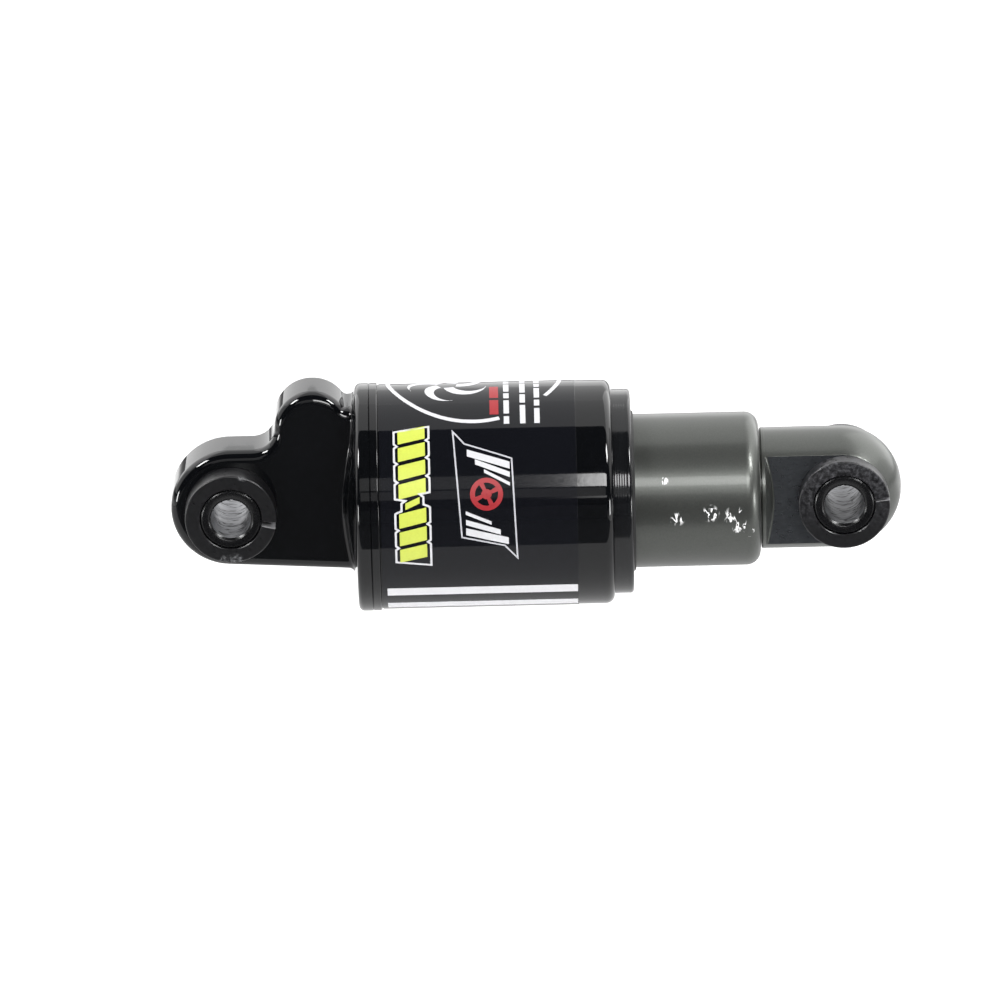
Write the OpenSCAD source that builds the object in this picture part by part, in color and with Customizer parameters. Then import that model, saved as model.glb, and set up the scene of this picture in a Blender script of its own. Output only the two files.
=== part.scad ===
// Rear shock for a small bicycle: an air spring in a large can, with an oil damper inside its
// slimmer body. X runs from the head eye, at the origin, to the foot eye. Y is the eye bolts' axis,
// and the valve is on the +Y side of the head. Z is up. Threads are plain cylinders that meet.

/* [Overall] */
// Eye to eye length at full extension
eye_to_eye = 125; // [125:1:165]
// Travel of the damper body into the air can
stroke = 22; // [14:0.5:22.5]
// Width over the bolt sleeves and their spacers
hardware_w = 24; // [22:0.5:34]

/* [Bolt hardware] */
// Hole for the frame's M8 bolt
bolt_hole_d = 8.2; // [6.2:0.1:10.2]
// Outer diameter of the sleeve that turns in the eye
sleeve_d = 12.7; // [12.7:0.1:15.4]
// Wall of the dry bush pressed into each eye
bush_wall = 1.15; // [0.9:0.05:1.5]
// Outer diameter of the split spacers beside each eye
spacer_d = 18.7; // [17.6:0.1:22.4]
// Slot in the head's near spacer
wide_slot = 1.2; // [0.6:0.1:2]
// Slot in the other spacers, which have closed up
narrow_slot = 0.4; // [0.2:0.1:1]

/* [Head casting] */
// Thickness of the head's ear and valve boss
head_ear_w = 12.5; // [10:0.5:15]
// Radius of the head's eye
head_eye_r = 12; // [10:0.1:13]
// Eye centre to the seam between head and can
head_len = 28.6; // [28:0.1:36]
// Distance of the valve boss from the eye along the shock
boss_x = 16.2; // [16:0.1:17]
// Height of the valve boss's centre above the axis
boss_z = 16.1; // [15.5:0.1:17]
// Radius of the valve boss
boss_r = 7.6; // [7:0.1:8.4]
// Length of the head's threaded spigot inside the can
spigot_len = 7; // [5:0.5:8.4]

/* [Air can] */
// Outer diameter of the can
can_d = 45.8; // [42:0.1:60]
// Wall of the can
can_wall = 2.3; // [1.5:0.1:2.8]
// Rim of the can and head, proud of the label
rim_step = 0.4; // [0.1:0.1:0.8]
// Length of the can's rim
rim_len = 1.7; // [1:0.1:3]
// Rounding at the can's far end
can_end_r = 1.5; // [0.5:0.1:1.9]
// Thickness of the printed label
label_t = 0.12; // [0.08:0.01:0.2]
// Length of the label
label_len = 40; // [20:1:42]
// Outer diameter of the gland's collar
collar_d = 41.8; // [38:0.1:44]
// Visible length of the gland's collar
collar_len = 3.9; // [3:0.1:5]

/* [Damper body] */
// Outer diameter of the damper tube
body_d = 31.4; // [26:0.1:34]
// Wall of the damper tube
body_wall = 2; // [1.6:0.1:2.6]
// Rounding of the tube's shoulder
shoulder_r = 3; // [2:0.1:3.4]
// Diameter of the damper rod
rod_d = 9; // [8:0.5:10.5]

/* [Foot eyelet] */
// Thickness of the foot's ear between its flats
foot_ear_w = 16; // [12:0.5:17]
// Radius of the round stock the foot is turned from
foot_r = 12.4; // [11.5:0.1:12.6]
// Foot's seam with the tube to the foot eye's centre
foot_len = 16.8; // [16:0.1:24]

/* [Valve] */
// Diameter of the valve stem's thread
stem_d = 7.7; // [7:0.1:8]
// Length of the valve stem outside its hexagon
stem_len = 8.6; // [7:0.1:9.4]
// Outer diameter of the valve cap
cap_d = 9.6; // [9.2:0.1:10.4]

/* [Hidden] */
$fn = 96;
eps = 0.5;            // how far a cutter runs past what it cuts
run_fit = 0.03;       // radial clearance of a shaft in its bush
side_play = 0.1;      // gap beside a part that turns
o_ring_gap = 0.04;    // clearance all round an O-ring's section

gunmetal = [0.30, 0.31, 0.29];
gloss_black = [0.05, 0.05, 0.06];
steel = [0.62, 0.62, 0.64];
dark_polymer = [0.13, 0.13, 0.14];
rubber_black = [0.08, 0.08, 0.08];
bronze = [0.60, 0.47, 0.30];

// Radii
can_r = can_d / 2;
bore_r = can_r - can_wall;
rim_r = can_r + rim_step;
body_r = body_d / 2;
tube_bore_r = body_r - body_wall;
rod_r = rod_d / 2;
sleeve_r = sleeve_d / 2;
bush_in_r = sleeve_r + run_fit;
bush_out_r = sleeve_r + bush_wall;
collar_r = collar_d / 2;
thread_r = rod_r - 0.75;        // the rod's stepped ends
foot_plug_r = tube_bore_r - 2.25;

// Stations along the shock, from the head eye
spigot_end = head_len + spigot_len;
recess_x = head_len + 2.5;      // floor of the hollow inside the spigot
tube_end = eye_to_eye - foot_len;
collar_end = tube_end - shoulder_r - stroke - 1.3;
can_end = collar_end - collar_len;
gland_len = 11;
gland_x = collar_end - gland_len;
bumper_t = 2;
air_piston_end = gland_x - bumper_t - 0.2;
air_piston_len = 8;
air_piston_x = air_piston_end - air_piston_len;
plug_len = 4.5;                 // air piston's thread inside the tube
plug_end = air_piston_end + plug_len;
shim_stack = 0.45;
rod_step = plug_end + 0.4;      // where the rod steps down to carry the damper piston
damper_piston_x = rod_step + shim_stack;
damper_piston_len = 4.5;
nut_x = damper_piston_x + damper_piston_len + shim_stack;
nut_len = 3.4;
tube_step = nut_x + stroke + 0.3;   // the tube's bore narrows here for the foot's thread
rod_seat = head_len - 6;        // bottom of the rod's hole in the head

// The valve sits a little below the boss's centre, so that the boss hides it from the front
valve_x = boss_x - 0.2;
valve_z = boss_z - 2.1;
valve_hole_r = 4;
valve_seat_y = -1;
hex_y = head_ear_w / 2;
hex_t = 1.8;
stem_y = hex_y + hex_t;
stem_end = stem_y + stem_len;
stem_bore_r = 2.6;
pin_r = 0.6;
core_y = stem_end - 7;

module along_x(x) translate([x, 0, 0]) rotate([0, 90, 0]) children();
module along_y(x, y, z) translate([x, y, z]) rotate([-90, 0, 0]) children();

// A turned ring between two stations on the shock's axis
module ring_x(x0, x1, r_out, r_in) {
    along_x(x0) difference() {
        cylinder(h = x1 - x0, r = r_out);
        translate([0, 0, -eps]) cylinder(h = x1 - x0 + 2 * eps, r = r_in);
    }
}

// A hole or disc on the shock's axis
module disc_x(x0, x1, r) along_x(x0) cylinder(h = x1 - x0, r = r);

// A hole or disc on an axis along Y, starting at y0
module disc_y(x, z, y0, y1, r) along_y(x, y0, z) cylinder(h = y1 - y0, r = r);

// Mirrors a shape to the far (+1) or near (-1) side
module to_side(side) {
    if (side > 0) children();
    else mirror([0, 1, 0]) children();
}

// An O-ring in a square groove from r_floor out to r_top
module o_ring_x(x0, r_floor, r_top) {
    section = (r_top - r_floor) / 2;
    along_x(x0 + section)
        rotate_extrude() translate([r_floor + section, 0]) circle(r = section - o_ring_gap, $fn = 32);
}

// The groove such a ring sits in, cut into a bore or a shaft
module groove_x(x0, width, r_in, r_out) ring_x(x0, x0 + width, r_out, r_in);

// ---- Eye hardware: a sleeve, two split spacers and a dry bush in each eye ----

module eye_bush(x, ear_w) {
    color(bronze) difference() {
        disc_y(x, 0, -ear_w / 2, ear_w / 2, bush_out_r);
        disc_y(x, 0, -ear_w / 2 - eps, ear_w / 2 + eps, bush_in_r);
    }
}

module upper_eye_bush() eye_bush(0, head_ear_w);
module lower_eye_bush() eye_bush(eye_to_eye, foot_ear_w);

module bolt_sleeve(x) {
    half = hardware_w / 2;
    chamfer = 0.5;
    bolt_r = bolt_hole_d / 2;
    color(steel) difference() {
        union() {
            disc_y(x, 0, -half + chamfer, half - chamfer, sleeve_r);
            for (side = [-1, 1]) to_side(side)
                along_y(x, half - chamfer, 0) cylinder(h = chamfer, r1 = sleeve_r, r2 = sleeve_r - chamfer);
        }
        disc_y(x, 0, -half - eps, half + eps, bolt_r);
        for (side = [-1, 1]) to_side(side)
            along_y(x, half - chamfer, 0) cylinder(h = chamfer + 0.01, r1 = bolt_r, r2 = bolt_r + chamfer);
    }
}

module upper_sleeve() bolt_sleeve(0);
module lower_sleeve() bolt_sleeve(eye_to_eye);

module split_spacer(x, ear_w, side, slot, slot_angle) {
    y0 = ear_w / 2 + side_play;
    y1 = hardware_w / 2;
    color(dark_polymer) to_side(side) difference() {
        disc_y(x, 0, y0, y1, spacer_d / 2);
        disc_y(x, 0, y0 - eps, y1 + eps, sleeve_r);
        translate([x, 0, 0]) rotate([0, slot_angle, 0])
            translate([0, y0 - eps, -slot / 2]) cube([spacer_d, y1 - y0 + 2 * eps, slot]);
    }
}

module upper_near_spacer() split_spacer(0, head_ear_w, -1, wide_slot, 10);
module upper_far_spacer() split_spacer(0, head_ear_w, 1, narrow_slot, 10);
module lower_near_spacer() split_spacer(eye_to_eye, foot_ear_w, -1, narrow_slot, -7);
module lower_far_spacer() split_spacer(eye_to_eye, foot_ear_w, 1, narrow_slot, -7);

// ---- Head casting ----

// Where a line from point p touches a circle of radius r at the origin, on the circle's lower side
function lower_tangent(p, r) =
    let (d = norm(p), a = atan2(p[1], p[0]) - acos(r / d)) [r * cos(a), r * sin(a)];

// Side view of the ear and boss: eye, flared web, boss, and the hollows before and behind the boss
module head_outline() {
    back_x = head_len - 4;
    foot_corner = [back_x, -head_eye_r - 1.5];
    touch = lower_tangent(foot_corner, head_eye_r);
    boss_left = boss_x - boss_r;
    hollow_r = min(boss_z - head_eye_r, boss_left);
    valley_r = 1.1;
    valley_z = boss_z + 5.4;
    circle(r = head_eye_r);
    polygon([[0, 0], touch, foot_corner, [back_x, boss_z], [boss_left, boss_z], [boss_left, 0]]);
    translate([boss_x, boss_z]) circle(r = boss_r);
    difference() {
        translate([0, 0]) square([boss_left + eps, head_eye_r + hollow_r]);
        translate([boss_left - hollow_r, head_eye_r + hollow_r]) circle(r = hollow_r);
        translate([-eps, head_eye_r]) square([boss_left - hollow_r + eps, hollow_r + eps]);
    }
    difference() {
        translate([boss_x, boss_z]) square([back_x - boss_x + 0.2, valley_z - boss_z]);
        translate([back_x - valley_r, valley_z]) circle(r = valley_r);
    }
}

// Half section of the round back of the head, from its shallow cone to the spigot
module head_back_section() {
    corner_r = 1.2;
    cone_x = head_len - 5.4;
    rim_x = head_len - 3;
    polygon([[0, cone_x], [6.5, cone_x], [15.5, head_len - 3.6], [rim_r - corner_r, rim_x],
        [rim_r - corner_r, head_len], [0, head_len]]);
    translate([rim_r - corner_r, rim_x + corner_r]) circle(r = corner_r);
    translate([rim_r - corner_r, rim_x + corner_r])
        square([corner_r, head_len - rim_x - corner_r]);
    translate([0, head_len - eps]) square([bore_r, spigot_len + eps]);
}

module head_casting() {
    color(gloss_black) difference() {
        union() {
            rotate([90, 0, 0])
                translate([0, 0, -head_ear_w / 2]) linear_extrude(head_ear_w) head_outline();
            rotate([0, 90, 0]) rotate_extrude() head_back_section();
        }
        disc_y(0, 0, -head_ear_w, head_ear_w, bush_out_r);
        disc_x(recess_x, spigot_end + eps, bore_r - 3.4);
        groove_x(spigot_end - 3.2, 1.8, bore_r - 0.9, bore_r + eps);
        disc_x(rod_seat, recess_x + eps, thread_r);
        groove_x(recess_x - 1.6, 1.6 + eps, thread_r - 0.1, thread_r + 0.8);
        disc_y(valve_x, valve_z, valve_seat_y, hex_y + eps, valve_hole_r);
        disc_y(valve_x, valve_z, hex_y - 1, hex_y + eps, valve_hole_r + 1);
        translate([valve_x, 0, valve_z]) rotate([0, 90, 0]) cylinder(h = spigot_end - valve_x, r = 1.1);
    }
}

module bottom_out_bumper() {
    thickness = air_piston_x - stroke - recess_x - 0.2;
    color(rubber_black) ring_x(recess_x, recess_x + thickness, 11, rod_r + 0.4);
}

module can_o_ring() color(rubber_black) o_ring_x(spigot_end - 3.2, bore_r - 0.9, bore_r);

// ---- Air can and gland ----

module air_can() {
    color(gloss_black) along_x(0) rotate_extrude() difference() {
        union() {
            translate([0, head_len]) square([rim_r, rim_len]);
            translate([0, head_len]) square([can_r, can_end - can_end_r - head_len]);
            translate([0, head_len]) square([can_r - can_end_r, can_end - head_len]);
            translate([can_r - can_end_r, can_end - can_end_r]) circle(r = can_end_r);
        }
        translate([0, head_len - eps]) square([bore_r, can_end - head_len + 2 * eps]);
    }
}

module can_label() {
    label_x = head_len + rim_len + 0.3;
    color([0.07, 0.07, 0.08]) difference() {
        ring_x(label_x, label_x + label_len, can_r + label_t, can_r);
        translate([label_x - eps, -0.4, -rim_r]) cube([label_len + 2 * eps, 0.8, rim_r]);
    }
}

gland_o_ring_x = can_end - 3.4;
bush_x = gland_x + 0.9;
bush_len = 3;
seal_x = bush_x + bush_len + 0.8;
seal_len = 2.4;
wiper_x = collar_end - 2.2;

module gland_collar() {
    corner_r = 0.8;
    color(gloss_black) difference() {
        union() {
            disc_x(gland_x, can_end, bore_r);
            along_x(0) rotate_extrude() {
                translate([0, can_end]) square([collar_r, collar_len - corner_r]);
                translate([0, can_end]) square([collar_r - corner_r, collar_len]);
                translate([collar_r - corner_r, collar_end - corner_r]) circle(r = corner_r);
            }
        }
        disc_x(gland_x - eps, collar_end + eps, body_r + 0.25);
        groove_x(gland_o_ring_x, 1.8, bore_r - 0.9, bore_r + eps);
        groove_x(bush_x, bush_len, body_r, body_r + 1);
        groove_x(seal_x, seal_len, body_r, body_r + 2.2);
        groove_x(wiper_x, 2.2 + eps, body_r, body_r + 1.9);
    }
}

module gland_o_ring() color(rubber_black) o_ring_x(gland_o_ring_x, bore_r - 0.9, bore_r);
module gland_bush() color(bronze) ring_x(bush_x, bush_x + bush_len, body_r + 1, body_r + run_fit);

// U-cup seal: its open side faces the pressure in the can
module gland_seal() {
    color(rubber_black) along_x(seal_x) rotate_extrude() difference() {
        translate([body_r + run_fit, 0]) square([2.2 - run_fit, seal_len]);
        translate([body_r + 0.7, -eps]) square([0.8, 1.1 + eps]);
    }
}

// Wiper with a lip that stands just proud of the collar
module dust_wiper() {
    lip = 0.5;
    r0 = body_r + run_fit;
    color(rubber_black) along_x(wiper_x) rotate_extrude()
        polygon([[r0 + 0.5, 0], [body_r + 1.9, 0], [body_r + 1.9, 2.2], [r0 + 0.9, 2.2],
            [r0 + 0.4, 2.2 + lip], [r0, 2.2 + lip]]);
}

module top_out_bumper() {
    color(rubber_black) ring_x(gland_x - bumper_t, gland_x, body_r + 3.2, body_r + 0.4);
}

// ---- Damper rod and its piston, which stay with the head ----

module damper_rod() {
    color(steel) {
        disc_x(rod_seat, recess_x + eps, thread_r);
        disc_x(recess_x, rod_step, rod_r);
        disc_x(rod_step - eps, nut_x + nut_len - 0.3, thread_r - 0.75);
    }
}

module rod_o_ring() color(rubber_black) o_ring_x(recess_x - 1.6, thread_r, thread_r + 0.8);

module damper_piston() {
    piston_r = tube_bore_r - 0.3;
    color([0.72, 0.70, 0.62]) difference() {
        disc_x(damper_piston_x, damper_piston_x + damper_piston_len, piston_r);
        disc_x(damper_piston_x - eps, damper_piston_x + damper_piston_len + eps, thread_r - 0.75);
        groove_x(damper_piston_x + 1, 2.5, piston_r - 1, piston_r + eps);
        for (turn = [0 : 60 : 300]) rotate([turn, 0, 0])
            translate([damper_piston_x - eps, 0, thread_r + 2.2]) rotate([0, 90, 0])
                cylinder(h = damper_piston_len + 2 * eps, r = 1.2);
    }
}

module damper_piston_band() {
    piston_r = tube_bore_r - 0.3;
    color([0.35, 0.25, 0.15])
        ring_x(damper_piston_x + 1, damper_piston_x + 3.5, tube_bore_r - run_fit, piston_r - 1);
}

// Three stacked discs, the widest against the piston
module shim_stack(face_x, direction) {
    leaf = shim_stack / 3;
    for (i = [0 : 2]) {
        x0 = direction > 0 ? face_x + i * leaf : face_x - (i + 1) * leaf;
        ring_x(x0, x0 + leaf, thread_r + 4 - i, thread_r - 0.75);
    }
}

module rebound_shims() color(steel) shim_stack(damper_piston_x, -1);
module compression_shims() color(steel) shim_stack(damper_piston_x + damper_piston_len, 1);

module damper_piston_nut() {
    color(steel) difference() {
        along_x(nut_x) cylinder(h = nut_len, r = thread_r + 1.3, $fn = 6);
        disc_x(nut_x - eps, nut_x + nut_len + eps, thread_r - 0.75);
    }
}

// ---- Air piston, on the end of the damper tube ----

piston_r = bore_r - 0.35;
air_seal_x = air_piston_x + 1.2;
air_seal_w = 2.2;
air_band_x = air_seal_x + air_seal_w + 1;
air_band_w = 2.4;
air_groove_r = piston_r - 1.8;
rod_bush_x = air_piston_x + 1.2;
rod_bush_len = 5;
rod_seal_x = rod_bush_x + rod_bush_len + 0.9;
rod_seal_len = 2.2;

module air_piston() {
    color([0.72, 0.70, 0.62]) difference() {
        union() {
            disc_x(air_piston_x, air_piston_end, piston_r);
            disc_x(air_piston_end - eps, plug_end, tube_bore_r);
        }
        disc_x(air_piston_x - eps, plug_end + eps, rod_r + 0.3);
        groove_x(air_seal_x, air_seal_w, air_groove_r, piston_r + eps);
        groove_x(air_band_x, air_band_w, air_groove_r + 0.8, piston_r + eps);
        groove_x(rod_bush_x, rod_bush_len, rod_r, rod_r + 1);
        groove_x(rod_seal_x, rod_seal_len, rod_r, rod_r + 2);
        groove_x(air_piston_end + 0.8, 1.6, tube_bore_r - 0.8, tube_bore_r + eps);
    }
}

module air_piston_o_ring() {
    color(rubber_black) o_ring_x(air_piston_end + 0.8, tube_bore_r - 0.8, tube_bore_r);
}

// Quad ring with a shallow channel round its rim
module air_piston_seal() {
    rim = bore_r - run_fit;
    floor_r = air_groove_r + 0.05;
    color(rubber_black) along_x(air_seal_x + side_play) rotate_extrude() difference() {
        translate([floor_r, 0]) square([rim - floor_r, air_seal_w - 2 * side_play]);
        translate([rim + 0.25, air_seal_w / 2 - side_play]) circle(r = 0.5, $fn = 32);
    }
}

module air_piston_band() {
    color([0.35, 0.25, 0.15]) ring_x(air_band_x + side_play, air_band_x + air_band_w - side_play,
        bore_r - run_fit, air_groove_r + 0.85);
}

module rod_bush() {
    color(bronze) ring_x(rod_bush_x, rod_bush_x + rod_bush_len, rod_r + 1, rod_r + run_fit);
}

module rod_seal() {
    color(rubber_black) along_x(rod_seal_x) rotate_extrude() difference() {
        translate([rod_r + run_fit, 0]) square([2 - run_fit, rod_seal_len]);
        translate([rod_r + 0.6, rod_seal_len - 1]) square([0.8, 1 + eps]);
    }
}

// ---- Damper tube and foot ----

module damper_tube() {
    seam = 0.2;
    end_x = tube_end - seam;
    color(gunmetal) along_x(0) rotate_extrude() difference() {
        union() {
            translate([0, air_piston_end]) square([body_r, end_x - shoulder_r - air_piston_end]);
            translate([0, air_piston_end]) square([body_r - shoulder_r, end_x - air_piston_end]);
            translate([body_r - shoulder_r, end_x - shoulder_r]) circle(r = shoulder_r);
        }
        translate([0, air_piston_end - eps]) square([tube_bore_r, tube_step - air_piston_end + eps]);
        translate([0, tube_step - eps]) square([foot_plug_r, end_x - tube_step + 2 * eps]);
    }
}

// Turned from round bar with a ball end, flats milled on both sides, and a shallow cone at its root
module foot_eyelet() {
    nose_x = eye_to_eye - 0.4;
    cone_len = 3.6;
    color(gunmetal) difference() {
        union() {
            disc_x(tube_step + 0.1, tube_end + 0.5, foot_plug_r);
            disc_x(tube_end, tube_end + 0.9, foot_r);
            along_x(tube_end + 0.9) cylinder(h = cone_len, r1 = foot_r, r2 = 1);
            intersection() {
                union() {
                    disc_x(tube_end + 0.3, nose_x, foot_r);
                    translate([nose_x, 0, 0]) sphere(r = foot_r);
                }
                translate([tube_end, -foot_ear_w / 2, -foot_r])
                    cube([foot_len + 2 * foot_r, foot_ear_w, 2 * foot_r]);
            }
        }
        disc_y(eye_to_eye, 0, -foot_ear_w, foot_ear_w, bush_out_r);
        disc_x(tube_step - eps, nut_x + nut_len + stroke + 0.6, thread_r + 2.2);
        groove_x(tube_step + 1, 1.6, foot_plug_r - 0.8, foot_plug_r + eps);
    }
}

module foot_o_ring() color(rubber_black) o_ring_x(tube_step + 1, foot_plug_r - 0.8, foot_plug_r);

// ---- Air valve on the far side of the boss ----

module valve_body() {
    color([0.75, 0.65, 0.35]) difference() {
        union() {
            disc_y(valve_x, valve_z, valve_seat_y, stem_y, valve_hole_r);
            along_y(valve_x, hex_y, valve_z) cylinder(h = hex_t, r = 5.6, $fn = 6);
            disc_y(valve_x, valve_z, stem_y - 0.1, stem_end, stem_d / 2);
        }
        disc_y(valve_x, valve_z, valve_seat_y + 2.6, stem_end + eps, stem_bore_r);
        disc_y(valve_x, valve_z, valve_seat_y - eps, valve_seat_y + 3, 1);
        translate([valve_x - valve_hole_r, 0, valve_z]) rotate([0, 90, 0])
            cylinder(h = 2 * valve_hole_r, r = 0.9);
    }
}

// The ring lies in the boss's counterbore, under the hexagon
module valve_o_ring() {
    section = 0.5;
    color(rubber_black) along_y(valve_x, hex_y - 1 + section, valve_z)
        rotate_extrude() translate([valve_hole_r + section, 0]) circle(r = section - o_ring_gap, $fn = 32);
}

module valve_core() {
    color([0.80, 0.70, 0.38]) difference() {
        disc_y(valve_x, valve_z, core_y, stem_end - 1, stem_bore_r);
        disc_y(valve_x, valve_z, core_y - eps, stem_end, pin_r + 0.05);
        disc_y(valve_x, valve_z, stem_end - 2.2, stem_end, 1.6);
    }
}

// The pin's head closes the core from inside
module valve_pin() {
    head_t = 1.2;
    gap = 0.05;
    color(steel) {
        disc_y(valve_x, valve_z, core_y - gap - head_t / 2, stem_end - 0.2, pin_r);
        disc_y(valve_x, valve_z, core_y - gap - head_t, core_y - gap, 1.5);
    }
}

module valve_cap() {
    cap_y = stem_y + 0.2;
    cap_end = stem_end + 1.4;
    color(dark_polymer) difference() {
        disc_y(valve_x, valve_z, cap_y, cap_end, cap_d / 2);
        disc_y(valve_x, valve_z, cap_y - eps, cap_end - 1.2, stem_d / 2 + 0.08);
        for (turn = [0 : 30 : 330]) translate([valve_x, 0, valve_z]) rotate([0, turn, 0])
            disc_y(cap_d / 2 + 0.25, 0, cap_y + 1, cap_end + eps, 0.5);
    }
}

head_casting();
upper_eye_bush();
air_can();
can_label();
can_o_ring();
gland_collar();
gland_o_ring();
gland_bush();
gland_seal();
dust_wiper();
top_out_bumper();
bottom_out_bumper();
damper_rod();
rod_o_ring();
damper_piston();
damper_piston_band();
rebound_shims();
compression_shims();
damper_piston_nut();
valve_body();
valve_o_ring();
valve_core();
valve_pin();
valve_cap();
air_piston_seal();
air_piston_band();
air_piston();
air_piston_o_ring();
rod_bush();
rod_seal();
damper_tube();
foot_eyelet();
foot_o_ring();
lower_eye_bush();
upper_sleeve();
upper_near_spacer();
upper_far_spacer();
lower_sleeve();
lower_near_spacer();
lower_far_spacer();
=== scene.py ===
# %% [markdown]
# # A small air shock, dressed for its portrait
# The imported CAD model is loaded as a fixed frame. It gives every size, and its parts move on joints.
# Blender adds what a CAD model leaves out: cast fillets, softened edges, paint, printed film,
# anodising, machining marks, scuffs and grease. Each new piece rides on a CAD body.

# %% Load the frame
import math

import bmesh
import bpy
from mathutils import Matrix, Vector


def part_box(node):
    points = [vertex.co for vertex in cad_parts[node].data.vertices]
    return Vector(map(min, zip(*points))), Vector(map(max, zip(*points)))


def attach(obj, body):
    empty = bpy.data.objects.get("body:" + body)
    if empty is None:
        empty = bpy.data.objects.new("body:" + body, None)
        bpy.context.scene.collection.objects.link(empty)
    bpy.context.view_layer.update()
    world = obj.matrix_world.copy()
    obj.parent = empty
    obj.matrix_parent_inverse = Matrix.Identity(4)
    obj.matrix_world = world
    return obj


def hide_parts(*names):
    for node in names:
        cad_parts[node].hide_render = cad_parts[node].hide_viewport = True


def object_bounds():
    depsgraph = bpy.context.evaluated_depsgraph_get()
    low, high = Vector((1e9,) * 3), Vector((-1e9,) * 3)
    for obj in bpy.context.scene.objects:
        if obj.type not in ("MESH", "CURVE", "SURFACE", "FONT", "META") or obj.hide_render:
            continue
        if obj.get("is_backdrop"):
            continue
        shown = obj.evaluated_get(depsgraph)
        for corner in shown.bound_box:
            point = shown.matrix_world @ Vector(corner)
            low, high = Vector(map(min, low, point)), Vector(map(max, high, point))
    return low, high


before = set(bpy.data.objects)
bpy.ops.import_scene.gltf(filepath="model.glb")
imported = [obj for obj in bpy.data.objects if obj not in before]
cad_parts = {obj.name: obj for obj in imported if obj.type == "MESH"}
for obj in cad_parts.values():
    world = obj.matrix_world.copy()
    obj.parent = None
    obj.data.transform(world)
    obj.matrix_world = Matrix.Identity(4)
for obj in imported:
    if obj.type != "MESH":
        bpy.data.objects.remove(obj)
cad_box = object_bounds()
MM = 0.001
TURN = 2 * math.pi

# %% [markdown]
# ## Sizes from the frame
# Every station along the shock is read from a CAD node's box, so a new piece can't drift away from
# the part it stands for. X runs from the head eye to the foot eye, in millimetres here.


# %% Stations and radii
def span(node, axis):
    """Lowest and highest coordinate of a CAD node along an axis, in millimetres."""
    low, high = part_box(node)
    return low[axis] / MM, high[axis] / MM


can_x, can_end = span("air_can", 0)
rim_r = span("air_can", 1)[1]
label_x, label_end = span("can_label", 0)
label_r = span("can_label", 1)[1]
label_t = 0.12
can_r = label_r - label_t
wiper_x, wiper_end = span("dust_wiper", 0)
tube_x, tube_end = span("damper_tube", 0)
tube_r = span("damper_tube", 1)[1]
sleeve_r = span("upper_sleeve", 0)[1]
spacer_r = span("upper_near_spacer", 0)[1]
bush_r = span("upper_eye_bush", 0)[1]
foot_eye_x = sum(span("lower_sleeve", 0)) / 2
print(f"can {can_x:.1f} to {can_end:.1f} mm, tube to {tube_end:.1f} mm, foot eye at {foot_eye_x:.1f} mm")

# %% [markdown]
# ## Camera
# A long lens far away keeps the can's edges almost parallel, as a catalogue picture has them. The
# shock's axis climbs a little to the right, which is a small roll of the camera about its own axis.

# %% Camera
VIEW_UP = math.radians(19.5)
VIEW_ROLL = math.radians(1.35)
VIEW_DISTANCE = 2.5
AIM = Vector((54.9, 0, -1.36)) * MM

towards_camera = Vector((0, -math.cos(VIEW_UP), math.sin(VIEW_UP)))
lens = bpy.data.cameras.new("camera")
lens.lens = 440
lens.clip_end = 50
camera = bpy.data.objects.new("camera", lens)
bpy.context.collection.objects.link(camera)
look = (-towards_camera).to_track_quat("-Z", "Y").to_matrix().to_4x4()
camera.matrix_world = (
    Matrix.Translation(AIM + towards_camera * VIEW_DISTANCE) @ look @ Matrix.Rotation(-VIEW_ROLL, 4, "Z")
)
bpy.context.scene.camera = camera
print(f"camera {VIEW_DISTANCE} m away, {math.degrees(VIEW_UP):.1f} degrees up")

# %% [markdown]
# ## Helpers
# One function turns a hex colour to the linear values that shaders use, one adds a node, and one
# hands a finished bmesh to an object. Lengths stay in millimetres until that last step.


# %% Colour and node helpers
def colour(hex_code):
    """sRGB hex to linear RGBA."""
    parts = [int(hex_code[i:i + 2], 16) / 255 for i in (1, 3, 5)]
    linear = [c / 12.92 if c <= 0.04045 else ((c + 0.055) / 1.055) ** 2.4 for c in parts]
    return (*linear, 1)


def add_node(tree, kind, links=(), **values):
    """Adds a node. Names of sockets set their default, other names set the node's own properties."""
    node = tree.nodes.new("ShaderNode" + kind)
    sockets = {}
    for name, value in values.items():
        if hasattr(node, name):
            setattr(node, name, value)
        else:
            sockets[name.replace("_", " ")] = value
    for name, value in sockets.items():
        node.inputs[name].default_value = value
    for name, source in dict(links).items():
        tree.links.new(source, node.inputs[name])
    return node


# %% [markdown]
# ## Floor and light
# Black gloss has almost no colour of its own, so what it mirrors draws its shape. The set is a white
# room with a dark side: pale floor, white canopy behind and overhead, black flag in front, and one
# softbox above the camera. Slim lights at each side pick out the rounded corners. The flag is a real
# studio tool. Here it shows only in reflections, so that it throws no shadow.

# %% Floor
FLOOR_DROP = 0.30


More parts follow.
